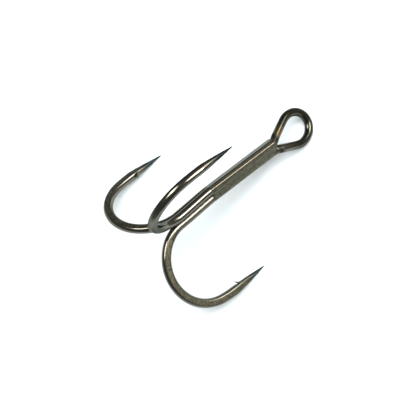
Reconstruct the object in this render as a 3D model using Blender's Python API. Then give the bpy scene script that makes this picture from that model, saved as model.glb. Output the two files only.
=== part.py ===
"""A brazed treble hook, resting on two of its hooks and its eye.

Three pieces of metal make it. One wire, bent double, gives the upper hook, the eye and one lower
hook. A second, shorter wire gives the other lower hook. Braze fills the joint between the shanks.
The shanks are pressed together into a six-sided bar, the bends are forged flat on their sides, and
the points are ground and barbed.

The shapes are worked out in the hook's own axes, in millimetres: x runs along the shank towards the
eye, z towards the upper hook and y towards the single wire's hook. The last step turns the whole
hook onto the surface it rests on.
"""

from math import acos, atan2, cos, degrees, hypot, radians, sin, sqrt, tan

import bpy
from mathutils import Matrix, Vector

MM = 0.001

# Driving dimensions, in millimetres and degrees.
WIRE = 2.0
SHANK_RADIUS = 1.152          # from the shank's axis to each wire's centre
BEND_START_X = -9.39          # where the straight shank ends and the bend begins
BEND_ARCS = ((38.5, 8.24), (73.0, 9.96), (59.5, 9.13), (9.0, 26.0))  # turn, radius
POINT_LENGTH = 8.7            # from the barb's root to the very point
TIP_X = 2.25
TIP_INSET = 0.22              # the point lies this much nearer the shank than the wire's centre
TIP_RADIUS = 0.05
BARB_BACK = 8.45              # from the point back to the barb's own tip
BARB_ROOT = 7.65
BARB_FRONT = 6.3
BARB_LIFT = 1.92              # from the wire's centre to the barb's tip
BARB_HEEL = 0.6               # how far the barb's underside reaches into the point
# The barb's outline: back from the point, out from the wire's centre, and half its width there.
BARB_OUTLINE = (
    (BARB_BACK, BARB_LIFT, 0.10),
    (BARB_FRONT, 0.70, 0.42),
    (BARB_FRONT + BARB_HEEL, 0.3, 0.34),
    (BARB_ROOT, 0.60, 0.40),
    (BARB_ROOT, 1.12, 0.31),
)
PRESS_START_X = 0.25
BAR_ASIDE = 0.537             # how far the pressed bar lies to the single wire's side
BAR_UP = 0.122                # and above the hooks' axis
BAR_TWIST = 3.7
BAR_LEAN_SOFTNESS = 0.35      # 0: the shank leans in a straight line, 1: in a smooth S
PRESS_BLEND = 0.55            # length of the shoulder between round wire and pressed bar
NARROW_FLAT = 2.14            # from the shank's axis to each flat over a wire
WIDE_FLAT = 1.51              # from the shank's axis to each flat between two wires
PRESSED_RADIUS = 1.13         # how far the metal spreads under the press
FORGED_WIDTH = 1.035          # bend's width in its own plane, as a share of the wire
FORGED_THICKNESS = 0.84
FORGED_SPREAD = 1.06          # how the round sides fill out towards the forged flats
FORGE_START = 0.22            # share of the bend over which its flats grow
FORGE_END = 0.12              # and over which they fade
EYE_WIRE = 1.9
EYE_NECK_X = 19.04
EYE_LEG_OFFSET = 0.99         # from the eye's midline to each leg's start
EYE_LIFT = 0.665              # the legs start this far above the shank's axis
EYE_CENTRE = 7.67             # from the neck to the middle of the loop
EYE_LONG = 4.19               # half length of the loop, along the shank
EYE_WIDE = 3.61               # half width of the loop
NECK_HANDLE = 0.5             # how gently each leg turns out of the bar
EYE_LEAN = -10.2
EYE_TWIST = 30.0
DOUBLE_BAR_END_X = 18.9
SINGLE_END_X = 19.35
FILM_GAP = 0.02               # clearance between the braze and each wire
FILM = 0.11                   # thickness of the braze between two wires
BRAZE_START_X = -8.6
BRAZE_END_X = 18.7
BRAZE_VALLEY = 0.98           # how far out the braze reaches between the round wires

# How far apart the points that touch the surface lie, and how often the turn is refined.
RESTING_LENGTH = 33.0
RESTING_SPAN = 36.0
RESTING_ROUNDS = 40

# Directions of the three hooks around the shank, from +z towards +y.
UPPER = 0.0
SINGLE_SIDE = 120.0
DOUBLE_SIDE = -120.0

RADIUS = WIRE / 2
CONTACT = SHANK_RADIUS * sin(radians(60)) - FILM / 2 - FILM_GAP
BRAZE_NECK = SHANK_RADIUS / 2 + sqrt(PRESSED_RADIUS ** 2 - CONTACT ** 2) + FILM_GAP
BEND_STEP = 9.0               # degrees of bend between two sections
RINGS_EYE = 26
SHOULDER_SHARES = (0.0, 0.35, 0.7, 1.0)
SHANK_SHARES = (0.12, 0.25, 0.38, 0.5, 0.62, 0.75, 0.88)
LEG_SHARES = (0.08, 0.17, 0.27, 0.38, 0.52, 0.68, 0.84)
POINT_BACKS = (7.6, 6.4, 5.0, 3.5, 2.0, 0.9, 0.3, 0.0)
TAPER_SOFTNESS = 0.25
TIP_FULLNESS = 0.78           # below 1, the point's sides swell outwards
CUT_END_SCALE = 0.7           # the single wire's cut end, as a share of the wire
CUT_BEVEL_SCALE = 0.88
CUT_BEVEL = 0.25
SHARP_EDGE = 40.0             # edges that turn more than this stay crisp


def clear_scene():
    for item in list(bpy.data.objects):
        bpy.data.objects.remove(item, do_unlink=True)


def section_angles():
    """Angles round a wire's section, from its gape side, with one at each corner of the pressed shape."""
    corner = degrees(atan2(corner_half_width(), NARROW_FLAT - SHANK_RADIUS))
    spread = degrees(acos((WIDE_FLAT - SHANK_RADIUS / 2) / PRESSED_RADIUS))
    meet = degrees(acos(CONTACT / PRESSED_RADIUS))
    half = [corner, (corner + 60 + spread) / 2, 60 + spread, 150 - meet, 150 - meet / 3, 165]
    return [0.0] + half + [180.0] + [-a for a in reversed(half)]


def corner_half_width():
    """Half the width of a narrow flat, where it meets the wide flats on both sides."""
    return (WIDE_FLAT - NARROW_FLAT * cos(radians(60))) / sin(radians(60))


def pressed_reach(angle):
    """Distance from a wire's centre to its pressed surface, at an angle from the narrow flat."""
    planes = (
        (0, NARROW_FLAT - SHANK_RADIUS),
        (60, WIDE_FLAT - SHANK_RADIUS / 2),
        (150, CONTACT),
    )
    reach = PRESSED_RADIUS
    for direction, distance in planes:
        facing = cos(radians(abs(angle) - direction))
        if facing > 1e-6:
            reach = min(reach, distance / facing)
    return reach


def section(radius=RADIUS, press=0.0, forge=0.0, shift=0.0, meet=0.0):
    """A wire's section as (u, v) points: u towards the gape, v across the hook's plane."""
    points = []
    for angle in section_angles():
        a = radians(angle)
        reach = radius + (pressed_reach(angle) - RADIUS) * press
        facing = cos(radians(abs(angle) - 150))
        if facing > 0.1:
            reach += (min(reach, CONTACT / facing) - reach) * meet
        u, v = reach * cos(a), reach * sin(a)
        half = radius * FORGED_THICKNESS
        flat_v = max(-half, min(half, v * FORGED_SPREAD))
        u += (u * FORGED_WIDTH - u) * forge
        v += (flat_v - v) * forge
        points.append((u + shift, v))
    return points


class Station:
    """One section of a wire: its centre, the direction of its gape side and its outline."""

    def __init__(self, centre, gape, outline):
        self.centre = Vector(centre)
        self.gape = Vector(gape)
        self.outline = outline


def around(direction, x, r):
    """A point at a distance r from the shank's axis, in the given direction around it."""
    a = radians(direction)
    return Vector((x, r * sin(a), r * cos(a)))


def smooth(t):
    t = max(0.0, min(1.0, t))
    return t * t * (3 - 2 * t)


def mix(a, b, share):
    return a + (b - a) * share


def bar_share(x):
    """0 where the bends begin, 1 along the pressed bar."""
    t = max(0.0, min(1.0, (x - BEND_START_X) / (PRESS_START_X - BEND_START_X)))
    return mix(t, smooth(t), BAR_LEAN_SOFTNESS)


def bar_turn(direction, x):
    """The direction of a wire around the shank, with the bar's slight twist."""
    return direction + BAR_TWIST * bar_share(x)


def bar_point(direction, x, r):
    """A point of the straight shank, which leans a little aside between the bends and the pressed bar."""
    return around(bar_turn(direction, x), x, r) + Vector((0, BAR_ASIDE, BAR_UP)) * bar_share(x)


def bend_profile():
    """(x, r, heading, share of the bend) from the shank to the barb's root, in the hook's plane."""
    x, r, heading = BEND_START_X, SHANK_RADIUS, 180.0
    total = sum(turn for turn, _ in BEND_ARCS)
    profile = [(x, r, heading, 0.0)]
    done = 0.0
    for turn, radius in BEND_ARCS:
        steps = max(1, round(turn / BEND_STEP))
        cx, cr = x + radius * sin(radians(heading)), r - radius * cos(radians(heading))
        for i in range(1, steps + 1):
            h = radians(heading - turn * i / steps)
            done_now = done + turn * i / steps
            profile.append((cx - radius * sin(h), cr + radius * cos(h), degrees(h), done_now / total))
        x, r, heading = profile[-1][:3]
        done += turn
    return profile


def point_outline(back):
    """The section of the ground point, at a distance back from its tip."""
    taper = min(1.0, back / POINT_LENGTH)
    share = mix(taper, smooth(taper), TAPER_SOFTNESS)
    radius = mix(TIP_RADIUS, RADIUS, share ** TIP_FULLNESS)
    return section(radius, shift=TIP_INSET * (1 - share))


def hook_stations(direction):
    """The stations of one hook, from the end of its pressed shank to its point."""
    stations = []

    def add(x, r, heading, outline):
        h = radians(heading)
        gape = around(direction, sin(h), -cos(h))
        stations.append(Station(around(direction, x, r), gape, outline))

    for share in SHOULDER_SHARES:
        x = PRESS_START_X - PRESS_BLEND * share
        stations.append(bar_station(direction, x, section(press=1 - smooth(share), meet=1)))
    for share in SHANK_SHARES:
        x = mix(PRESS_START_X - PRESS_BLEND, BEND_START_X, share)
        stations.append(bar_station(direction, x, section(meet=1)))
    for x, r, heading, share in bend_profile():
        forge = smooth(share / FORGE_START) * smooth((1 - share) / FORGE_END)
        add(x, r, heading, section(forge=forge, meet=1.0 if share == 0 else 0.0))
    start_x, r, _, _ = bend_profile()[-1]
    root_x = TIP_X - POINT_LENGTH
    for share in (0.5, 1.0):
        add(mix(start_x, root_x, share), r, 0, section())
    for back in POINT_BACKS:
        add(TIP_X - back, r, 0, point_outline(back))
    return stations


def bar_station(direction, x, outline, r=SHANK_RADIUS):
    gape = around(bar_turn(direction, x), 0, 1)
    return Station(bar_point(direction, x, r), gape, outline)


def shank_stations(direction, end_x):
    """The pressed shank of one wire, from just past its shoulder to end_x."""
    xs = [PRESS_START_X + 0.1, (PRESS_START_X + end_x) / 2, end_x]
    return [bar_station(direction, x, section(press=1)) for x in xs]


def eye_point(x, across):
    """A point of the eye's plane: x from the neck, along the leaning plane, and across its midline."""
    lean, twist = radians(EYE_LEAN), radians(EYE_TWIST)
    out = x * sin(lean)
    y = across * cos(twist) - out * sin(twist)
    z = across * sin(twist) + out * cos(twist)
    return Vector((EYE_NECK_X + x * cos(lean), y, z + EYE_LIFT))


def eye_loop():
    """(point, outward direction) round the loop, from the upper wire's leg to the lower wire's."""
    squash = EYE_WIDE / EYE_LONG
    dx, dy = -EYE_CENTRE * squash, EYE_LEG_OFFSET
    tangent = atan2(dy, dx) - acos(EYE_WIDE / hypot(dx, dy))
    centre = eye_point(EYE_CENTRE, 0)
    loop = []
    for i in range(RINGS_EYE):
        a = tangent * (1 - 2 * i / (RINGS_EYE - 1))
        point = eye_point(EYE_CENTRE + EYE_LONG * cos(a), EYE_WIDE * sin(a))
        outward = eye_point(EYE_CENTRE + EYE_WIDE * cos(a), EYE_LONG * sin(a)) - centre
        loop.append((point, outward.normalized()))
    return loop


def leg_stations(shank, loop_point, loop_outward, leg_start):
    """The neck of one leg: a smooth curve from the pressed shank's end to the loop's first section."""
    start = shank.centre
    ahead = (loop_point - leg_start).normalized()
    knee_in = start + Vector((NECK_HANDLE, 0, 0))
    knee_out = leg_start + ahead * (NECK_HANDLE * 1.6)
    stations = []
    for t in LEG_SHARES:
        pull = (1 - t) ** 3, 3 * t * (1 - t) ** 2, 3 * t * t * (1 - t), t ** 3
        centre = start * pull[0] + knee_in * pull[1] + knee_out * pull[2] + loop_point * pull[3]
        gape = shank.gape.lerp(loop_outward, smooth(t * 2))
        radius = mix(RADIUS, EYE_WIRE / 2, t)
        press = 1 - smooth(t * 3)
        stations.append(Station(centre, gape, section(radius, press, meet=press)))
    return stations


def double_wire_stations():
    """The wire bent double, from the upper hook's point, round the eye, to the lower hook's point."""
    upper = shank_stations(UPPER, DOUBLE_BAR_END_X)
    lower = shank_stations(DOUBLE_SIDE, DOUBLE_BAR_END_X)
    loop = eye_loop()
    up_leg = leg_stations(upper[-1], *loop[0], eye_point(0, EYE_LEG_OFFSET))
    low_leg = leg_stations(lower[-1], *loop[-1], eye_point(0, -EYE_LEG_OFFSET))
    ring = [Station(p, out, section(EYE_WIRE / 2)) for p, out in loop]
    first_half = hook_stations(UPPER)[::-1] + upper + up_leg
    second_half = low_leg[::-1] + lower[::-1] + hook_stations(DOUBLE_SIDE)
    return first_half + ring + second_half


def single_wire_stations():
    """The single wire, from its cut end under the eye's neck to its point."""
    shank = shank_stations(SINGLE_SIDE, SINGLE_END_X - 0.7)[::-1]
    cut = section(RADIUS * CUT_END_SCALE)
    bevel = section(RADIUS * CUT_BEVEL_SCALE, 0.9, meet=1)
    end = bar_station(SINGLE_SIDE, SINGLE_END_X, cut, SHANK_RADIUS + 0.05)
    before = bar_station(SINGLE_SIDE, SINGLE_END_X - CUT_BEVEL, bevel, SHANK_RADIUS + 0.02)
    return [end, before] + shank + hook_stations(SINGLE_SIDE)


def loft(name, rings):
    """A closed mesh through rings of points, with a flat cap on each end."""
    count = len(rings[0])
    points = [p for ring in rings for p in ring]
    faces = []
    for i in range(len(rings) - 1):
        for j in range(count):
            k = (j + 1) % count
            faces.append((i * count + j, i * count + k, (i + 1) * count + k, (i + 1) * count + j))
    faces.append(tuple(reversed(range(count))))
    faces.append(tuple(range((len(rings) - 1) * count, len(rings) * count)))
    mesh = bpy.data.meshes.new(name)
    mesh.from_pydata([p * MM for p in points], [], faces)
    mesh.validate()
    mesh.shade_smooth()
    mesh.set_sharp_from_angle(angle=radians(SHARP_EDGE))
    obj = bpy.data.objects.new(name, mesh)
    bpy.context.scene.collection.objects.link(obj)
    face_outwards(mesh)
    return obj


def face_outwards(mesh):
    """Turns the faces round if the closed mesh holds a negative volume."""
    volume = 0.0
    for face in mesh.polygons:
        a = mesh.vertices[face.vertices[0]].co
        for i in range(1, len(face.vertices) - 1):
            b, c = mesh.vertices[face.vertices[i]].co, mesh.vertices[face.vertices[i + 1]].co
            volume += a.dot(b.cross(c))
    if volume < 0:
        mesh.flip_normals()


def wire_rings(stations):
    """Each station's outline as points, square to the wire's path."""
    rings = []
    for i, station in enumerate(stations):
        before, after = stations[max(i - 1, 0)], stations[min(i + 1, len(stations) - 1)]
        along = (after.centre - before.centre).normalized()
        gape = (station.gape - along * station.gape.dot(along)).normalized()
        across = along.cross(gape)
        rings.append([station.centre + gape * u + across * v for u, v in station.outline])
    return rings


def barb(direction):
    """The sliver raised from the inner side of a point, sharp end towards the bend, as a union cutter."""
    leg_r = bend_profile()[-1][1]
    rings = []
    for side in (-1, 1):
        ring = []
        for back, u, half in BARB_OUTLINE:
            point = around(direction, TIP_X - back, leg_r - u)
            ring.append(point + side * half * around(direction + 90, 0, 1))
        rings.append(ring)
    cutter = loft("barb_form", rings)
    cutter.hide_render = True
    cutter.display_type = "WIRE"
    return cutter


def add_barb(wire, direction):
    union = wire.modifiers.new("barb", "BOOLEAN")
    union.operation = "UNION"
    union.object = barb(direction)
    return union.object


def braze_ring(x, reach, bulb):
    """Three thin arms between the wires at one place along the shank, wider where they fill a groove."""
    core = (FILM / 2) / tan(radians(60)) + 0.01
    neck = min(reach - 0.02, BRAZE_NECK)
    arm = ((core, FILM / 2), (neck, FILM / 2), (reach, bulb))
    ring = []
    for direction in (60, 180, 300):
        aside = around(bar_turn(direction + 90, x), 0, 1)
        ring += [bar_point(direction, x, radial) - aside * half for radial, half in arm]
        ring += [bar_point(direction, x, radial) + aside * half for radial, half in reversed(arm)]
    return ring


def build_braze():
    """The braze between the shanks: a film with a filled groove along each wide flat."""
    flat_half = sqrt(PRESSED_RADIUS ** 2 - (WIDE_FLAT - SHANK_RADIUS / 2) ** 2)
    groove = SHANK_RADIUS * sin(radians(60)) - flat_half - 2 * FILM_GAP
    stretch = (
        (BRAZE_START_X, 0.5, FILM / 2),
        (BRAZE_START_X + 0.8, BRAZE_VALLEY, FILM / 2),
        (BRAZE_START_X * 0.6, BRAZE_VALLEY, FILM / 2),
        (BRAZE_START_X * 0.3, BRAZE_VALLEY, FILM / 2),
        (PRESS_START_X, BRAZE_VALLEY, FILM / 2),
        (PRESS_START_X + 0.2, BRAZE_NECK + 0.02, FILM / 2),
        (PRESS_START_X + 0.6, WIDE_FLAT - FILM_GAP, groove),
        (BRAZE_END_X - 1.0, WIDE_FLAT - FILM_GAP, groove),
        (BRAZE_END_X - 0.6, BRAZE_NECK + 0.02, FILM / 2),
        (BRAZE_END_X, BRAZE_VALLEY, FILM / 2),
    )
    return loft("braze_filler", [braze_ring(*place) for place in stretch])


def metal(name, colour, roughness):
    material = bpy.data.materials.new(name)
    material.use_nodes = True
    shader = material.node_tree.nodes["Principled BSDF"]
    shader.inputs["Base Color"].default_value = (*colour, 1)
    shader.inputs["Metallic"].default_value = 1.0
    shader.inputs["Roughness"].default_value = roughness
    return material


def lowest(points, turn):
    return min((turn @ p).z for p in points)


def resting_turn(upper_side, single_side, eye):
    """The turn that brings the lowest points of two hooks and the eye to one level."""
    pitch = roll = 0.0
    for _ in range(RESTING_ROUNDS):
        turn = Matrix.Rotation(pitch, 3, "Y") @ Matrix.Rotation(roll, 3, "X")
        a, b, c = (lowest(points, turn) for points in (upper_side, single_side, eye))
        pitch += 0.5 * (c - (a + b) / 2) / RESTING_LENGTH
        roll += 0.5 * (a - b) / RESTING_SPAN
    return Matrix.Rotation(pitch, 4, "Y") @ Matrix.Rotation(roll, 4, "X")


def lay_down(objects, double_rings, single_rings):
    """Turns every object onto the resting surface, with the origin under the middle of the hook."""
    points = [p for ring in double_rings for p in ring]
    eye = [p for p in points if p.x > EYE_NECK_X]
    low_side = [p for p in points if p.y < 0 and p.x < EYE_NECK_X]
    single = [p for ring in single_rings for p in ring]
    turn = resting_turn(low_side, single, eye)
    placed = [turn @ p for p in points + single]
    corners = [(min(p[i] for p in placed), max(p[i] for p in placed)) for i in range(3)]
    middle = Vector(((sum(corners[0])) / 2, sum(corners[1]) / 2, corners[2][0]))
    for obj in objects:
        obj.data.transform(Matrix.Translation(-middle * MM) @ turn)


def main():
    clear_scene()
    double_rings = wire_rings(double_wire_stations())
    single_rings = wire_rings(single_wire_stations())
    double = loft("double_hook_wire", double_rings)
    single = loft("single_hook_wire", single_rings)
    braze = build_braze()
    barbs = [add_barb(double, UPPER), add_barb(double, DOUBLE_SIDE), add_barb(single, SINGLE_SIDE)]
    lay_down([double, single, braze] + barbs, double_rings, single_rings)
    nickel = metal("black_nickel", (0.30, 0.29, 0.27), 0.28)
    double.data.materials.append(nickel)
    single.data.materials.append(nickel)
    braze.data.materials.append(metal("plated_braze", (0.36, 0.33, 0.29), 0.42))


main()
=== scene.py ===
from math import acos, atan2, cos, degrees, exp, hypot, pi, radians, sin, sqrt

import bpy
import numpy as np
from mathutils import Matrix, Vector

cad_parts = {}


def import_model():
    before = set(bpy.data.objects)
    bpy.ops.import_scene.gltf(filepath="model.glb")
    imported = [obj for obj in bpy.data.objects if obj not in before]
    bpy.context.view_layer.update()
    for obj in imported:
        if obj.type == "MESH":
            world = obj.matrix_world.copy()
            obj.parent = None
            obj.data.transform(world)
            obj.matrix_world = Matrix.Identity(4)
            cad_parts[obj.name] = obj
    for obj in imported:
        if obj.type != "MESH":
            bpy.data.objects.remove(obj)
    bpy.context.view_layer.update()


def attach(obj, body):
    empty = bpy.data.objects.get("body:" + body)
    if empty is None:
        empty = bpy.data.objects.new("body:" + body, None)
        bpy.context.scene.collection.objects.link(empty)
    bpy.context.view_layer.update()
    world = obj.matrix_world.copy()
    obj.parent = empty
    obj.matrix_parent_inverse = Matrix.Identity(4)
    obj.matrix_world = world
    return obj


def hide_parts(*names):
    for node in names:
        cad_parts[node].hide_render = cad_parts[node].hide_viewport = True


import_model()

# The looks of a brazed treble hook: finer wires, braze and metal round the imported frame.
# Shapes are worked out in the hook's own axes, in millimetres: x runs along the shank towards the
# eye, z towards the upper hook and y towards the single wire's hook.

MM = 0.001

# The wires and their shared hook profile. BEND_ARCS holds (turn, radius) from the shank to the point.
RADIUS = 1.0
SHANK_RADIUS = 1.152
BEND_START_X = -9.39
BEND_ARCS = ((38.5, 8.24), (73.0, 9.96), (59.5, 9.13), (9.0, 26.0))
POINT_LENGTH = 8.7
TIP_X = 2.25
TIP_INSET = 0.22
TIP_RADIUS = 0.05
TIP_FULLNESS = 0.78
TAPER_SOFTNESS = 0.25
CONTACT_GAP = 0.075
CONTACT_END = 0.06            # share of the bend by which the wires have parted
UPPER, SINGLE_SIDE, DOUBLE_SIDE = 0.0, 120.0, -120.0

# The pressed bar: its place, its slight lean and twist, and its flats and ridges.
PRESS_START_X = 0.25
PRESS_BLEND = 0.55
BAR_ASIDE = 0.537
BAR_UP = 0.122
BAR_TWIST = 3.7
BAR_LEAN_SOFTNESS = 0.35
PRESSED_FLAT = 1.51
PRESSED_BACK = 1.005
PRESSED_SIDE = 1.15
RIDGE_SOFTNESS = 0.012
BACK_SOFTNESS = 0.08
DOUBLE_BAR_END_X = 18.9
SINGLE_END_X = 19.8
SINGLE_END_TAPER = 0.7
SINGLE_END_SHARES = (0.88, 0.7)   # of the radius, where its end rounds off
SINGLE_END_OUT = (0.02, 0.05)

# The forged flats at the sides of the bends, which fade away on the points.
FORGED_WIDTH = 1.035
FORGED_THICKNESS = 0.84
FORGED_SPREAD = 1.06
FORGED_MIDDLE = 0.2
FORGED_SOFTNESS = 0.035
FORGE_RISE = 0.22             # share of the bend over which the flats form
FORGE_END = 3.4               # back from the point, where they have gone
FORGE_FADE = 2.2

# The eye: a leaning, twisted teardrop.
EYE_WIRE = 1.9
EYE_NECK_X = 19.04
EYE_LEG_OFFSET = 0.99
EYE_LIFT = 0.665
EYE_CENTRE = 7.67
EYE_LONG = 4.19
EYE_WIDE = 3.61
EYE_LEAN = -10.2
EYE_TWIST = 30.0
NECK_IN_HANDLE, NECK_OUT_HANDLE = 0.5, 0.8
NECK_TURN, NECK_ROUNDING = 0.5, 1 / 3     # shares of the neck over which the section turns, and rounds

# How the hook lies: its pitch on the floor, and the point over the middle of the floor.
PITCH = 14.2538
MIDDLE = Vector((5.1634, 0.0, -10.3719))

# The barb: a leaf sliced from the inner side of the wire and raised about its root.
SCOOP_START = 9.10            # back from the point
LEAF_ROOT = 7.58
LEAF_FRONT = 6.87
LEAF_TIP = (8.65, 2.2)        # back from the point, and from the wire's centre
LEAF_POINTEDNESS = 1.6
LEAF_EDGE = 0.12              # share of the leaf's length over which it leaves the wire
CUT_DEPTH = 0.28
BEND_KEPT, SCOOP_CLEAR = 0.9, 0.15        # the bend's last stations give way to the scoop's rings
CUT_CLEAR = 9.0               # far above the wire, where a cut no longer reaches it
UNDER_LEAF = 0.4              # share of root to front that lies under the leaf
LEAF_BACK = (0.74, 0.75)      # how the leaf's outer side leaves its edge, forwards and down
LEAF_EASE = (0.15, 0.4)       # how it settles on the wire: at its sides, and more in its middle

# The braze, as (x, reach, half width, crown) between the round wires and into the bar's grooves.
BRAZE_START_X = -8.6
BRAZE_END_X = 19.25
BRAZE_CORE = 0.04
BRAZE_FILM = 0.08
BRAZE_FLARE = 0.75
BRAZE_STEP = 0.05
BRAZE_FILLET = (
    (BRAZE_START_X, 0.6, 0.06, -0.01),
    (BRAZE_START_X + 0.5, 0.8, 0.08, -0.02),
    (BRAZE_START_X + 1.5, 0.92, 0.11, -0.03),
    (BRAZE_START_X * 0.55, 0.92, 0.11, -0.03),
    (PRESS_START_X - PRESS_BLEND, 0.98, 0.14, -0.03),
    (PRESS_START_X - PRESS_BLEND * 0.5, 1.32, 0.34, 0.02),
    (PRESS_START_X, PRESSED_FLAT - 0.01, 0.36, 0.01),
)
SEAM_START_X = 0.7
SEAM_HALF = 0.345
SEAM_PROUD = 0.001
BRAZE_TAIL = (
    (BRAZE_END_X - 0.2, PRESSED_FLAT - 0.03, 0.34, 0.0),
    (BRAZE_END_X, PRESSED_FLAT - 0.3, 0.3, 0.0),
)

# The web of braze in the eye's crotch, hollow towards the eye.
CROTCH_DEPTH = 0.55
CROTCH_BACK = 0.9
CROTCH_HOLLOW = 0.95
CROTCH_HALF_WIDTH = 0.62
CROTCH_HEIGHT = 0.62
CROTCH_CROWN = 0.25

# Where the pressing die's ends left dark edges, partly real die marks and partly painted shade in the
# crease where the eye's legs start and at the bar's step, which also dims the highlights there; how wide
# and how strong, within this reach of the axis.
DIE_EDGES_AND_SHADE = ((19.95, 0.75, 1.0), (-0.1, 0.16, 0.4))
SHANK_REACH = 3.2

# The plating's straw tint on one leg of the eye past the neck, and painted shade that darkens the eye's
# loop.
STRAW_START = 2.4
STRAW_WIDTH = 1.2
DARK_EYE_START, DARK_EYE_RISE = 2.0, 4.0
DULL_LEAD, DULL_REACH = 4.0, 40.0

# How finely the wires are drawn: in degrees round them and along their bends, and in rings.
COLUMN_STEP = 6.0
CORNER_COLUMNS = (-6, -3.2, -1.4, 0, 1.4, 3.2, 6)
CORNER_CLEAR = 6.5
CLOSEST_COLUMNS = 1.3
BEND_STEP = 2.0
PRESS_RINGS, SHANK_RINGS, BAR_RINGS = 14, 26, 40
SCOOP_RINGS, UNDERSIDE_RINGS, TOPSIDE_RINGS = 11, 9, 13
NECK_RINGS, LOOP_RINGS = 34, 90
TAPER_RINGS, TAPER_END = 46, 0.4
TIP_RINGS = [0.3, 0.2, 0.12, 0.05, 0.0]
SEAM_RINGS, SEAM_COLUMNS = 20, 9
CROTCH_RINGS, CROTCH_COLUMNS = 13, 24

CONTACT = SHANK_RADIUS * sin(radians(60)) - CONTACT_GAP
HOOK_TO_WORLD = Matrix.Translation(-MIDDLE * MM) @ Matrix.Rotation(radians(PITCH), 4, "Y")


def smooth(t):
    t = max(0.0, min(1.0, t))
    return t * t * (3 - 2 * t)


def mix(a, b, share):
    return a + (b - a) * share


# ---------------------------------------------------------------- sections

def corner_angles():
    """Where the pressed section turns from one flat to the next, from its gape side."""
    flat = PRESSED_FLAT - SHANK_RADIUS / 2
    meet = degrees(acos(CONTACT / PRESSED_SIDE))
    back = degrees(atan2(flat - PRESSED_BACK * cos(radians(60)), PRESSED_BACK * sin(radians(60))))
    return back, 60 + degrees(acos(flat / PRESSED_SIDE)), 150 - meet


def column_angles():
    """Angles round a section, closer together at the corners of the pressed shape."""
    half = {round(i * COLUMN_STEP, 3) for i in range(int(180 / COLUMN_STEP) + 1)}
    for corner in corner_angles():
        half = {a for a in half if abs(a - corner) > CORNER_CLEAR or a in (0, 180)}
        half |= {round(corner + d, 3) for d in CORNER_COLUMNS}
    half = sorted(half)
    kept = [half[0]]
    for angle in half[1:]:
        if angle - kept[-1] > CLOSEST_COLUMNS:
            kept.append(angle)
    return np.radians(kept + [-a for a in reversed(kept[1:-1])])


ANGLES = column_angles()
COSINES, SINES = np.cos(ANGLES), np.sin(ANGLES)
LEAST_FACING, FAR_AWAY = 0.05, 20.0


def soft_min(values, softness):
    """The least of several arrays, with its corners rounded off by the softness."""
    values = np.array(values)
    low = values.min(0)
    return low - softness * np.log(np.exp(-(values - low) / softness).sum(0))


def plane_reach(direction, distance):
    """Distance from the centre to a plane, by column, or far away where it faces elsewhere."""
    facing = np.cos(np.abs(ANGLES) - radians(direction))
    return np.where(facing > LEAST_FACING, distance / np.maximum(facing, LEAST_FACING), FAR_AWAY)


def outline(radius=RADIUS, press=0.0, forge=0.0, shift=0.0, meet=0.0):
    """A section as arrays u, v: u towards the gape, v across the hook's plane.

    press, forge and meet say how far it is pressed into the bar, forged flat at its sides, and cut
    flat where the three wires meet. shift moves it towards the gape.
    """
    round_reach = np.full(len(ANGLES), radius)
    flat, back = plane_reach(60, PRESSED_FLAT - SHANK_RADIUS / 2), plane_reach(0, PRESSED_BACK)
    flats = soft_min((flat, back), BACK_SOFTNESS)
    pressed = soft_min((flats, round_reach * PRESSED_SIDE), RIDGE_SOFTNESS)
    reach = mix(round_reach, pressed, press)
    if meet:
        reach = mix(reach, np.minimum(reach, plane_reach(150, CONTACT)), meet)
    u, v = reach * COSINES, reach * SINES
    if forge:
        half = radius * FORGED_THICKNESS
        widened = FORGED_SPREAD * v
        flat_v = np.sign(v) * soft_min((np.abs(widened), np.full(len(v), half)), FORGED_SOFTNESS * radius)
        flat_v = np.where(np.abs(v) < FORGED_MIDDLE * radius, widened, flat_v)
        u = mix(u, u * FORGED_WIDTH, forge)
        v = mix(v, flat_v, forge)
    return u + shift, v


# ---------------------------------------------------------------- paths

def around(direction, x, r):
    """A point at x along the shank and r from its axis, on one hook's side."""
    a = radians(direction)
    return Vector((x, r * sin(a), r * cos(a)))


def bar_share(x):
    """0 where the bends start, rising to 1 where the bar is pressed."""
    t = max(0.0, min(1.0, (x - BEND_START_X) / (PRESS_START_X - BEND_START_X)))
    return mix(t, smooth(t), BAR_LEAN_SOFTNESS)


def bar_turn(direction, x):
    """A wire's direction from the shank's axis, which the bar's twist turns."""
    return direction + BAR_TWIST * bar_share(x)


def bar_point(direction, x, r):
    return around(bar_turn(direction, x), x, r) + Vector((0, BAR_ASIDE, BAR_UP)) * bar_share(x)


class Station:
    """A place on a wire's path: its centre, the way to the gape, and the section there."""

    def __init__(self, centre, gape, section):
        self.centre = Vector(centre)
        self.gape = Vector(gape)
        self.section = section


def bar_station(direction, x, section, r=SHANK_RADIUS):
    return Station(bar_point(direction, x, r), around(bar_turn(direction, x), 0, 1), section)


def bend_profile():
    """(x, r, heading, share of the bend) from the shank to the leg of the point."""
    x, r, heading = BEND_START_X, SHANK_RADIUS, 180.0
    total = sum(turn for turn, _ in BEND_ARCS)
    profile = [(x, r, heading, 0.0)]
    done = 0.0
    for turn, radius in BEND_ARCS:
        steps = max(1, round(turn / BEND_STEP))
        cx, cr = x + radius * sin(radians(heading)), r - radius * cos(radians(heading))
        for i in range(1, steps + 1):
            h = radians(heading - turn * i / steps)
            share = (done + turn * i / steps) / total
            profile.append((cx - radius * sin(h), cr + radius * cos(h), degrees(h), share))
        x, r, heading = profile[-1][:3]
        done += turn
    return profile


LEG_R = bend_profile()[-1][1]


def point_section(back):
    """The tapered section this far back from the point."""
    t = min(1.0, back / POINT_LENGTH)
    share = smooth(t) * TAPER_SOFTNESS + (1 - TAPER_SOFTNESS) * t
    radius = TIP_RADIUS + (RADIUS - TIP_RADIUS) * share ** TIP_FULLNESS
    forge = smooth((back - FORGE_END) / FORGE_FADE)
    return outline(radius, shift=TIP_INSET * (1 - share), forge=forge)


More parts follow.
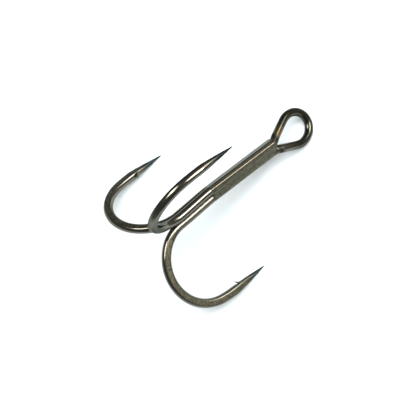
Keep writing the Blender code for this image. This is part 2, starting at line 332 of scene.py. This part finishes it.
class Leg:
    """The frame of one hook's leg, which is straight along x, below its point."""

    def __init__(self, direction):
        self.origin = around(direction, 0, LEG_R)
        self.inwards = -around(direction, 0, 1)
        self.across = Vector((1, 0, 0)).cross(self.inwards)

    def place(self, x, u, v):
        offsets = np.outer(u, self.inwards) + np.outer(v, self.across)
        return np.array(self.origin) + np.outer(x, (1, 0, 0)) + offsets

    def ring(self, x):
        u, v = point_section(TIP_X - x)
        return self.place(np.full(len(u), x), u, v)


def section_points(centre, gape, across, section):
    """A section as points in space."""
    u, v = section
    return np.array(centre) + np.outer(u, gape) + np.outer(v, across)


def scoop_rings(leg, scoop_x, root_x):
    """Rings along the scoop that the slice left, deeper and deeper towards the leaf's root."""
    rings = []
    for x in np.linspace(scoop_x, root_x, SCOOP_RINGS):
        u, v = point_section(TIP_X - x)
        depth = CUT_DEPTH * (x - scoop_x) / (root_x - scoop_x)
        rings.append(leg.place(np.full(len(u), x), np.minimum(u, u.max() - depth), v))
    return rings


def leaf_rings(leg, root_x, front_x):
    """Rings up the leaf's underside and back down its outer side."""
    tip_x, tip_u = TIP_X - LEAF_TIP[0], LEAF_TIP[1]
    u_root, v_root = point_section(TIP_X - root_x)
    u_front, v_front = point_section(TIP_X - front_x)
    chord = u_root.max() - CUT_DEPTH
    half_width = sqrt(u_root.max() ** 2 - chord ** 2)
    q = np.clip(np.abs(v_root) / half_width, 0, 1)
    length = np.where(u_root >= chord, 1 - q ** LEAF_POINTEDNESS, 0.0)
    leaf = np.array([smooth(share / LEAF_EDGE) for share in length])
    edge_x = root_x + (tip_x - root_x) * length
    edge_u = chord + (tip_u - chord) * length
    rings = []
    for t in np.linspace(0, 1, UNDERSIDE_RINGS + 1)[1:]:
        along = mix(root_x, front_x, UNDER_LEAF * t)
        u_here, v_here = point_section(TIP_X - along)
        x = mix(along, mix(root_x, edge_x, t), leaf)
        u = mix(np.minimum(u_here, mix(chord, CUT_CLEAR, t)), mix(chord, edge_u, t), leaf)
        rings.append(leg.place(x, u, mix(v_here, v_root, leaf)))
    for t in np.linspace(0, 1, TOPSIDE_RINGS + 1)[1:]:
        along = mix(root_x, front_x, mix(UNDER_LEAF, 1.0, t))
        u_here, v_here = point_section(TIP_X - along)
        b0, b1, b2, b3 = (1 - t) ** 3, 3 * t * (1 - t) ** 2, 3 * t * t * (1 - t), t ** 3
        steep_x = edge_x + LEAF_BACK[0] * length
        steep_u = np.maximum(edge_u - LEAF_BACK[1] * length, u_front)
        level_x = front_x - LEAF_EASE[0] - LEAF_EASE[1] * length
        x = b0 * edge_x + b1 * steep_x + b2 * level_x + b3 * front_x
        u = b0 * edge_u + b1 * steep_u + (b2 + b3) * u_front
        v = mix(v_here, mix(v_root, v_front, t), leaf)
        rings.append(leg.place(mix(along, x, leaf), mix(u_here, u, leaf), v))
    return rings


def hook_rings(direction):
    """The rings of one hook, from the end of its pressed shank to its point."""
    stations = []
    press_end = PRESS_START_X - PRESS_BLEND
    for share in np.linspace(0, 1, PRESS_RINGS):
        section = outline(press=1 - smooth(share), meet=1)
        stations.append(bar_station(direction, mix(PRESS_START_X, press_end, share), section))
    for share in np.linspace(0, 1, SHANK_RINGS)[1:-1]:
        stations.append(bar_station(direction, mix(press_end, BEND_START_X, share), outline(meet=1)))
    scoop_x, root_x, front_x = TIP_X - SCOOP_START, TIP_X - LEAF_ROOT, TIP_X - LEAF_FRONT
    for x, r, heading, share in bend_profile():
        if share > BEND_KEPT and x > scoop_x - SCOOP_CLEAR:
            continue
        section = outline(forge=smooth(share / FORGE_RISE), meet=1 - smooth(share / CONTACT_END))
        h = radians(heading)
        gape = around(direction, sin(h), -cos(h))
        stations.append(Station(around(direction, x, r), gape, section))
    leg = Leg(direction)
    rings = wire_rings(stations)
    rings += scoop_rings(leg, scoop_x, root_x)
    rings += leaf_rings(leg, root_x, front_x)
    for back in list(np.linspace(LEAF_FRONT, TAPER_END, TAPER_RINGS)[1:]) + TIP_RINGS:
        rings.append(leg.ring(TIP_X - back))
    return rings


def shank_stations(direction, end_x):
    """One wire's stations along the pressed bar."""
    xs = np.linspace(PRESS_START_X + 0.3, end_x, BAR_RINGS)
    return [bar_station(direction, x, outline(press=1, meet=1)) for x in xs]


def eye_point(x, across):
    """A point in the eye's own plane: x out from its neck, and across."""
    lean, twist = radians(EYE_LEAN), radians(EYE_TWIST)
    out = x * sin(lean)
    y = across * cos(twist) - out * sin(twist)
    z = across * sin(twist) + out * cos(twist)
    return Vector((EYE_NECK_X + x * cos(lean), y, z + EYE_LIFT))


def eye_loop(rings):
    """The eye's loop as (point, way out), from where one leg touches it round to the other."""
    squash = EYE_WIDE / EYE_LONG
    dx, dy = -EYE_CENTRE * squash, EYE_LEG_OFFSET
    tangent = atan2(dy, dx) - acos(EYE_WIDE / hypot(dx, dy))
    centre = eye_point(EYE_CENTRE, 0)
    loop = []
    for i in range(rings):
        a = tangent * (1 - 2 * i / (rings - 1))
        point = eye_point(EYE_CENTRE + EYE_LONG * cos(a), EYE_WIDE * sin(a))
        outward = eye_point(EYE_CENTRE + EYE_WIDE * cos(a), EYE_LONG * sin(a)) - centre
        loop.append((point, outward.normalized()))
    return loop


def leg_stations(shank, loop_point, loop_outward, leg_start):
    """The neck of one leg of the eye, from the pressed shank to the loop."""
    start = shank.centre
    ahead = (loop_point - leg_start).normalized()
    knee_in = start + Vector((NECK_IN_HANDLE, 0, 0))
    knee_out = leg_start + ahead * NECK_OUT_HANDLE
    stations = []
    for t in np.linspace(0, 1, NECK_RINGS)[1:-1]:
        pull = (1 - t) ** 3, 3 * t * (1 - t) ** 2, 3 * t * t * (1 - t), t ** 3
        centre = start * pull[0] + knee_in * pull[1] + knee_out * pull[2] + loop_point * pull[3]
        gape = shank.gape.lerp(loop_outward, smooth(t / NECK_TURN))
        radius = mix(RADIUS, EYE_WIRE / 2, t)
        press = 1 - smooth(t / NECK_ROUNDING)
        stations.append(Station(centre, gape, outline(radius, press, meet=press)))
    return stations


def wire_rings(stations):
    """Each station's section as points, square to the wire's path."""
    rings = []
    for i, station in enumerate(stations):
        before, after = stations[max(i - 1, 0)], stations[min(i + 1, len(stations) - 1)]
        along = (after.centre - before.centre).normalized()
        gape = (station.gape - along * station.gape.dot(along)).normalized()
        rings.append(section_points(station.centre, gape, along.cross(gape), station.section))
    return rings


def mirrored(ring):
    """A ring with its columns in the opposite order, for a wire run the other way."""
    return np.concatenate([ring[:1], ring[:0:-1]])


def double_wire_rings():
    """The bent wire's rings, from the upper point round the eye to the lower point."""
    upper = shank_stations(UPPER, DOUBLE_BAR_END_X)
    lower = shank_stations(DOUBLE_SIDE, DOUBLE_BAR_END_X)
    loop = eye_loop(LOOP_RINGS)
    up_leg = leg_stations(upper[-1], *loop[0], eye_point(0, EYE_LEG_OFFSET))
    low_leg = leg_stations(lower[-1], *loop[-1], eye_point(0, -EYE_LEG_OFFSET))
    ring = [Station(p, out, outline(EYE_WIRE / 2)) for p, out in loop]
    middle = wire_rings(upper + up_leg + ring + low_leg[::-1] + lower[::-1])
    first = [mirrored(r) for r in hook_rings(UPPER)[::-1]]
    return first + middle + hook_rings(DOUBLE_SIDE)


def single_wire_rings():
    """The shorter wire's rings, from its rounded-off end under the neck to its point."""
    shank = shank_stations(SINGLE_SIDE, SINGLE_END_X - SINGLE_END_TAPER)[::-1]
    wide, narrow = (RADIUS * share for share in SINGLE_END_SHARES)
    near, far = (SHANK_RADIUS + out for out in SINGLE_END_OUT)
    before = bar_station(SINGLE_SIDE, SINGLE_END_X - 0.25, outline(wide, 0.9, meet=1), near)
    end = bar_station(SINGLE_SIDE, SINGLE_END_X, outline(narrow), far)
    return wire_rings([end, before] + shank) + hook_rings(SINGLE_SIDE)


# ---------------------------------------------------------------- meshes

def loft(name, rings, sharp=180):
    """A closed skin over rings of points, with its edges sharp above the angle."""
    count = len(rings[0])
    points = np.concatenate(rings) * MM
    faces = []
    for i in range(len(rings) - 1):
        for j in range(count):
            k = (j + 1) % count
            faces.append((i * count + j, i * count + k, (i + 1) * count + k, (i + 1) * count + j))
    faces.append(tuple(reversed(range(count))))
    faces.append(tuple(range((len(rings) - 1) * count, len(rings) * count)))
    mesh = bpy.data.meshes.new(name)
    mesh.from_pydata([Vector(p) for p in points], [], faces)
    mesh.validate()
    mesh.shade_smooth()
    mesh.set_sharp_from_angle(angle=radians(sharp))
    mesh.transform(HOOK_TO_WORLD)
    obj = bpy.data.objects.new(name, mesh)
    bpy.context.scene.collection.objects.link(obj)
    face_outwards(mesh)
    return obj


def face_outwards(mesh):
    volume = 0.0
    for face in mesh.polygons:
        a = mesh.vertices[face.vertices[0]].co
        for i in range(1, len(face.vertices) - 1):
            b, c = mesh.vertices[face.vertices[i]].co, mesh.vertices[face.vertices[i + 1]].co
            volume += a.dot(b.cross(c))
    if volume < 0:
        mesh.flip_normals()


def braze_ring(x, reach, half, crown):
    """Three arms between the wires at one place along the shank, each with a curved top."""
    ring = []
    flare = min(reach - BRAZE_STEP, BRAZE_FLARE)
    for direction in (60, 180, 300):
        aside = around(bar_turn(direction + 90, x), 0, 1)
        places = [(BRAZE_CORE, -BRAZE_FILM), (flare, -BRAZE_FILM)]
        places += [(reach + crown * (1 - t * t), t * half) for t in np.linspace(-1, 1, SEAM_COLUMNS)]
        places += [(flare, BRAZE_FILM), (BRAZE_CORE, BRAZE_FILM)]
        ring += [bar_point(direction, x, radial) + aside * offset for radial, offset in places]
    return np.array(ring)


def braze_rings():
    """The braze between the shanks: a hollow fillet between round wires, a full seam along the bar."""
    along = np.linspace(SEAM_START_X, BRAZE_END_X - 0.5, SEAM_RINGS)
    seam = tuple((x, PRESSED_FLAT + SEAM_PROUD, SEAM_HALF, 0.0) for x in along)
    return [braze_ring(*place) for place in BRAZE_FILLET + seam + BRAZE_TAIL]


def crotch_rings():
    """The small web of braze where the eye's legs part."""
    rings = []
    turns = np.linspace(0, 2 * pi, CROTCH_COLUMNS, endpoint=False)
    ahead, aside = eye_point(1, 0) - eye_point(0, 0), eye_point(0, 1) - eye_point(0, 0)
    out = aside.cross(ahead).normalized()
    for across in np.linspace(-CROTCH_HALF_WIDTH, CROTCH_HALF_WIDTH, CROTCH_RINGS):
        front = CROTCH_DEPTH + CROTCH_HOLLOW * across ** 2
        half = (front + CROTCH_BACK) / 2
        height = CROTCH_HEIGHT - CROTCH_CROWN * across ** 2
        ring = [eye_point(front - half + half * cos(t), across) + out * height * sin(t) for t in turns]
        rings.append(np.array(ring))
    return rings


# ---------------------------------------------------------------- marks for the material

def section_bend(ring):
    """How sharply a section turns at each vertex: 0 on a flat, 1 where it is round, more on a ridge."""
    radius = np.linalg.norm(ring - ring.mean(0), axis=1).mean()
    before, after = ring - np.roll(ring, 1, 0), np.roll(ring, -1, 0) - ring
    a, b = np.linalg.norm(before, axis=1), np.linalg.norm(after, axis=1)
    turn = np.arccos(np.clip((before * after).sum(1) / np.maximum(a * b, 1e-12), -1, 1))
    return np.clip(turn / np.maximum((a + b) / 2, 1e-6) * radius, 0, 8)


def die_edges_and_shade(points):
    """How near each point is to the ends of the die's marks on the shank, where shade is also painted: 1 on
    them, 0 away.
    """
    x, reach = points[:, 0], np.hypot(points[:, 1], points[:, 2])
    near = np.zeros(len(points))
    for mark_and_shade, width, strength in DIE_EDGES_AND_SHADE:
        near = np.maximum(near, strength * np.exp(-((x - mark_and_shade) / width) ** 2))
    return near * (reach < SHANK_REACH)


def eye_share(ring):
    """0 on the neck, rising to 1 on the eye's loop, where its painted shade is full."""
    return smooth((ring[:, 0].mean() - EYE_NECK_X - DARK_EYE_START) / DARK_EYE_RISE)


def heat_tint(ring):
    """1 where brazing left a straw tint on one of the eye's legs, 0 away from there."""
    x, y, _ = ring.mean(0)
    return exp(-((x - EYE_NECK_X - STRAW_START) / STRAW_WIDTH) ** 2) * (y > 0)


def dulled(ring):
    """1 on the double wire's lower shank, which the die left duller."""
    x, y, z = ring.mean(0)
    lower = abs(degrees(atan2(y, z)) - DOUBLE_SIDE) < DULL_REACH and x < PRESS_START_X
    return smooth((x - BEND_START_X + DULL_LEAD) / DULL_LEAD) * lower


def slimness(ring):
    """0 on the full wire, rising towards 1 at a point."""
    return 1 - np.linalg.norm(ring - ring.mean(0), axis=1).mean() / RADIUS


def add_mark(obj, name, values, kind="FLOAT", field="value"):
    layer = obj.data.attributes.new(name, kind, "POINT")
    layer.data.foreach_set(field, values.astype(np.float32).ravel())


def add_wire_marks(obj, rings):
    """Marks each vertex with how its section turns there, and its place along and round the wire."""
    add_mark(obj, "die_edge_and_shade", die_edges_and_shade(np.concatenate(rings)))
    add_mark(obj, "section_bend", np.concatenate([section_bend(ring) for ring in rings]))
    centres = np.array([ring.mean(0) for ring in rings])
    steps = np.linalg.norm(np.diff(centres, axis=0), axis=1)
    along = np.concatenate([[0], np.cumsum(steps)])
    place = [np.column_stack([np.full(len(ANGLES), s), COSINES, SINES]) for s in along]
    add_mark(obj, "wire_place", np.concatenate(place), "FLOAT_VECTOR", "vector")
    for share in (eye_share, heat_tint, dulled, slimness):
        add_mark(obj, share.__name__, np.repeat([share(ring) for ring in rings], len(ANGLES)))


# ---------------------------------------------------------------- materials

class Nodes:
    """Builds a material's nodes in a few words."""

    def __init__(self, name):
        self.material = bpy.data.materials.new(name)
        self.material.use_nodes = True
        self.tree = self.material.node_tree
        self.shader = self.tree.nodes["Principled BSDF"]

    def add(self, kind, settings=(), **inputs):
        node = self.tree.nodes.new(kind)
        for key, value in dict(settings).items():
            setattr(node, key, value)
        for key, value in inputs.items():
            self.put(node.inputs[key.replace("_", " ")], value)
        return node

    def put(self, socket, value):
        if isinstance(value, bpy.types.NodeSocket):
            self.tree.links.new(value, socket)
        else:
            socket.default_value = value

    def attribute(self, name, output):
        return self.add("ShaderNodeAttribute", {"attribute_name": name}).outputs[output]

    def noise(self, vector, scale, detail=3.0, roughness=0.55):
        settings = {"Vector": vector, "Scale": scale, "Detail": detail, "Roughness": roughness}
        return self.add("ShaderNodeTexNoise", **settings).outputs["Fac"]

    def span(self, value, low, high, to_low=0.0, to_high=1.0):
        node = self.add("ShaderNodeMapRange", {"interpolation_type": "SMOOTHSTEP"}, Value=value)
        for key, number in (("From Min", low), ("From Max", high), ("To Min", to_low), ("To Max", to_high)):
            node.inputs[key].default_value = number
        return node.outputs["Result"]

    def math(self, operation, a, b):
        node = self.add("ShaderNodeMath", {"operation": operation})
        self.put(node.inputs[0], a)
        self.put(node.inputs[1], b)
        return node.outputs[0]

    def varied(self, rough, share):
        """A roughness that rises from its base with the share."""
        base, variation = rough
        return self.math("ADD", base, self.math("MULTIPLY", share, variation))

    def blend(self, share, a, b, kind="RGBA"):
        node = self.add("ShaderNodeMix", {"data_type": kind})
        sockets = [i for i in node.inputs if i.enabled]
        self.put(sockets[0], share)
        self.put(sockets[1], a)
        self.put(sockets[2], b)
        return [o for o in node.outputs if o.enabled][0]

    def scaled(self, vector, scale):
        return self.add("ShaderNodeMapping", Vector=vector, Scale=scale).outputs["Vector"]


def colour(r, g, b):
    return (r, g, b, 1.0)


# The plating's reflectance on round wire and on pressed flats from dark to pale, and the eye's loop
# darkened as painted shade.
PLATE_BROWN, PLATE_GREEN = colour(0.225, 0.195, 0.165), colour(0.19, 0.2, 0.165)
EYE_PAINTED_SHADE = colour(0.1, 0.095, 0.074)
STRAW = colour(0.32, 0.24, 0.12)
PRESSED_DARK, PRESSED_PALE = colour(0.06, 0.057, 0.04), colour(0.2, 0.188, 0.132)
SHARPENED = colour(0.048, 0.066, 0.063)
RIDGE_WORN = colour(0.25, 0.23, 0.14)
# Dark die marks, which also carry painted shade in the neck's crease and at the bar's step.
DIE_MARK_AND_SHADE = colour(0.045, 0.045, 0.035)
ROUND_GLANCING, FLAT_GLANCING = colour(0.35, 0.37, 0.36), colour(0.85, 0.9, 0.92)

# Its roughness: round wire and flats take a base and a variation, the rest is even.
ROUND_ROUGH = (0.14, 0.08)
FLAT_ROUGH = (0.26, 0.3)
DULLED_ROUGH = 0.32
STRAW_ROUGH = 0.27
RIDGE_ROUGH = 0.42
DIE_ROUGH = 0.5


def black_nickel():
    """Black nickel plate: glossy on round wire, matte and mottled on pressed flats, worn on ridges."""
    n = Nodes("black_nickel")
    bend = n.attribute("section_bend", "Fac")
    wire = n.attribute("wire_place", "Vector")
    here = n.add("ShaderNodeTexCoord").outputs["Object"]
    straw = n.attribute("heat_tint", "Fac")
    mark_and_shade = n.attribute("die_edge_and_shade", "Fac")
    flat = n.span(bend, 0.75, 0.15)
    ridge = n.span(bend, 1.8, 4.5)
    mottle = n.noise(here, 2600.0, 4.0, 0.7)
    streaks = n.noise(n.scaled(wire, (0.35, 9.0, 9.0)), 1.0, 4.0, 0.6)
    grain = n.noise(here, 5200.0, 3.0)

    plate = n.blend(n.noise(here, 160.0, 2.0), PLATE_BROWN, PLATE_GREEN)
    # Painted shade: the eye's loop is made darker, standing in for the darker surroundings it mirrors.
    plate = n.blend(n.attribute("eye_share", "Fac"), plate, EYE_PAINTED_SHADE)
    plate = n.blend(n.math("MULTIPLY", straw, 0.8), plate, STRAW)
    pressed = n.blend(n.span(mottle, 0.35, 0.65), PRESSED_DARK, PRESSED_PALE)
    body = n.blend(flat, plate, pressed)
    body = n.blend(n.span(n.attribute("slimness", "Fac"), 0.12, 0.5), body, SHARPENED)
    wear = n.math("MULTIPLY", ridge, n.span(n.noise(wire, 2.2, 3.0), 0.35, 0.6))
    body = n.blend(wear, body, RIDGE_WORN)
    # Darker at the die's ends: partly real die marks, partly painted shade in the neck's crease and at the
    # step, dimming the highlights there.
    n.put(n.shader.inputs["Base Color"], n.blend(mark_and_shade, body, DIE_MARK_AND_SHADE))

    round_rough = n.varied(ROUND_ROUGH, streaks)
    round_rough = n.blend(n.attribute("dulled", "Fac"), round_rough, DULLED_ROUGH, "FLOAT")
    round_rough = n.blend(straw, round_rough, STRAW_ROUGH, "FLOAT")
    rough = n.blend(flat, round_rough, n.varied(FLAT_ROUGH, mottle), "FLOAT")
    rough = n.blend(n.math("MULTIPLY", ridge, 0.8), rough, RIDGE_ROUGH, "FLOAT")
    n.put(n.shader.inputs["Roughness"], n.blend(mark_and_shade, rough, DIE_ROUGH, "FLOAT"))

    height = n.blend(flat, n.math("MULTIPLY", streaks, 0.12), mottle, "FLOAT")
    height = n.math("ADD", height, n.math("MULTIPLY", grain, 0.3))
    bump = n.add("ShaderNodeBump", Height=height, Strength=0.25, Distance=0.00004)
    n.put(n.shader.inputs["Normal"], bump.outputs["Normal"])
    n.put(n.shader.inputs["Specular Tint"], n.blend(flat, ROUND_GLANCING, FLAT_GLANCING))
    n.shader.inputs["Metallic"].default_value = 1.0
    return n.material


# ---------------------------------------------------------------- build

SEAM_EDGE = 30

double_rings = double_wire_rings()
single_rings = single_wire_rings()
double = loft("double_wire", double_rings)
single = loft("single_wire", single_rings)
add_wire_marks(double, double_rings)
add_wire_marks(single, single_rings)
seam = loft("braze_seam", braze_rings(), SEAM_EDGE)
crotch = loft("braze_crotch", crotch_rings())

nickel = black_nickel()
for piece, node, slot in (
    (double, "double_hook_wire", "hook_wire"),
    (single, "single_hook_wire", "hook_wire"),
    (seam, "braze_filler", "braze"),
    (crotch, "braze_filler", "braze"),
):
    piece.data.materials.append(nickel)
    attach(piece, "root")
    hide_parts(node)


# ---------------------------------------------------------------- studio

# The camera looks at this point from these angles and distance, turned a little about its own axis.
CAMERA_AIM = Vector((-7.43, -1.5, 9.64))
CAMERA_AZIMUTH, CAMERA_ELEVATION, CAMERA_ROLL = -122.2, 73.59, -9.99
CAMERA_DISTANCE = 292.3
LENS = 116.36

LIT_POINT = Vector((0, 0, 0.01))
WARM, COOL = (1.0, 0.98, 0.95), (0.9, 0.98, 1.0)


FLOOR_SIZE = 1.2
FLOOR_WHITE = colour(0.9, 0.91, 0.92)
# Painted light in the floor's reflections: how far from the middle the painted pool fades, and from what to
# what.
FADE_FROM, FADE_TO = 0.025, 0.11
NEAR_FLOOR, FAR_FLOOR = 0.84, 0.126
# The studio's light in reflections, and where it is lighter.
STUDIO_COLOUR = colour(1.0, 0.97, 0.93)
STUDIO_DIM, STUDIO_LIGHT = 0.12, 0.24
LIGHTER_SIDE = (0.85, -0.4, 0.3)
BACKDROP = colour(0.95, 0.97, 1.0)


def floor():
    """A white floor, plain to the camera, with a painted pool of light in its colour for reflections only,
    which fades with distance.
    """
    bpy.ops.mesh.primitive_plane_add(size=FLOOR_SIZE)
    plane = bpy.context.object
    plane.name = "floor"
    n = Nodes("floor_white_painted_pool")
    here = n.add("ShaderNodeTexCoord").outputs["Object"]
    far = n.add("ShaderNodeVectorMath", {"operation": "LENGTH"}, Vector=here)
    painted_pool = n.span(far.outputs["Value"], FADE_FROM, FADE_TO, NEAR_FLOOR, FAR_FLOOR)
    glossy = n.add("ShaderNodeLightPath").outputs["Is Glossy Ray"]
    shade = n.math("ADD", 1.0, n.math("MULTIPLY", glossy, n.math("SUBTRACT", painted_pool, 1.0)))
    # Painted pool of light: glossy rays see the floor dimmed and fading with distance, other rays see it
    # plain white.
    n.put(n.shader.inputs["Base Color"], n.blend(shade, colour(0, 0, 0), FLOOR_WHITE))
    n.shader.inputs["Roughness"].default_value = 0.9
    n.shader.inputs["Specular IOR Level"].default_value = 0.0
    plane.data.materials.append(n.material)


def area_light(name, position, size, power, tint):
    light = bpy.data.lights.new(name, "AREA")
    light.size = size
    light.energy = power
    light.color = tint
    obj = bpy.data.objects.new(name, light)
    obj.location = position
    obj.rotation_euler = (LIT_POINT - Vector(position)).to_track_quat("-Z", "Y").to_euler()
    bpy.context.scene.collection.objects.link(obj)
    return obj


def reflected_light(name, position, size, power):
    """A softbox that shows in the metal but leaves the floor's shadows alone."""
    area_light(name, position, size, power, WARM).visible_diffuse = False


def floor_light(name, position, size, power, tint):
    """A light for the floor and its shadows, which the metal does not mirror."""
    area_light(name, position, size, power, tint).visible_glossy = False


def camera():
    """A long lens that looks steeply down at the hook."""
    data = bpy.data.cameras.new("camera")
    data.lens = LENS
    data.sensor_width = 36.0
    data.clip_start, data.clip_end = 0.01, 10
    obj = bpy.data.objects.new("camera", data)
    azimuth, elevation = radians(CAMERA_AZIMUTH), radians(CAMERA_ELEVATION)
    out = Vector((cos(elevation) * cos(azimuth), cos(elevation) * sin(azimuth), sin(elevation)))
    turn = (-out).to_track_quat("-Z", "Y").to_matrix() @ Matrix.Rotation(radians(CAMERA_ROLL), 3, "Z")
    obj.matrix_world = Matrix.Translation((CAMERA_AIM + out * CAMERA_DISTANCE) * MM) @ turn.to_4x4()
    bpy.context.scene.collection.objects.link(obj)
    bpy.context.scene.camera = obj


def world():
    """A dim studio in reflections, lighter to one side, and a pale backdrop to the camera."""
    made = bpy.data.worlds.new("studio")
    made.use_nodes = True
    nodes, links = made.node_tree.nodes, made.node_tree.links
    dim = nodes["Background"]
    dim.inputs["Color"].default_value = STUDIO_COLOUR
    pale = nodes.new("ShaderNodeBackground")
    pale.inputs["Color"].default_value = BACKDROP
    towards = nodes.new("ShaderNodeVectorMath")
    towards.operation = "DOT_PRODUCT"
    towards.inputs[1].default_value = LIGHTER_SIDE
    ramp = nodes.new("ShaderNodeMapRange")
    ramp.interpolation_type = "SMOOTHSTEP"
    ramp.inputs["From Max"].default_value = 0.9
    ramp.inputs["To Min"].default_value = STUDIO_DIM
    ramp.inputs["To Max"].default_value = STUDIO_LIGHT
    path = nodes.new("ShaderNodeLightPath")
    either = nodes.new("ShaderNodeMixShader")
    links.new(nodes.new("ShaderNodeTexCoord").outputs["Generated"], towards.inputs[0])
    links.new(towards.outputs["Value"], ramp.inputs["Value"])
    links.new(ramp.outputs["Result"], dim.inputs["Strength"])
    links.new(path.outputs["Is Camera Ray"], either.inputs[0])
    links.new(dim.outputs[0], either.inputs[1])
    links.new(pale.outputs[0], either.inputs[2])
    links.new(either.outputs[0], nodes["World Output"].inputs["Surface"])
    bpy.context.scene.world = made


floor()
camera()
world()
reflected_light("side_softbox", (-0.24, 0.21, 0.51), 0.27, 2.2)
reflected_light("main_softbox", (0.30, -0.19, 0.49), 0.26, 2.6)
reflected_light("far_softbox", (0.45, -0.02, 0.40), 0.13, 0.26)
floor_light("floor_fill", (0.0, 0.0, 0.9), 1.0, 17.0, COOL)
floor_light("floor_key", (0.1, 0.11, 0.57), 0.22, 0.27, WARM)
floor_light("floor_side", (-0.12, 0.09, 0.57), 0.22, 0.3, WARM)
bpy.context.scene.view_settings.view_transform = "Standard"
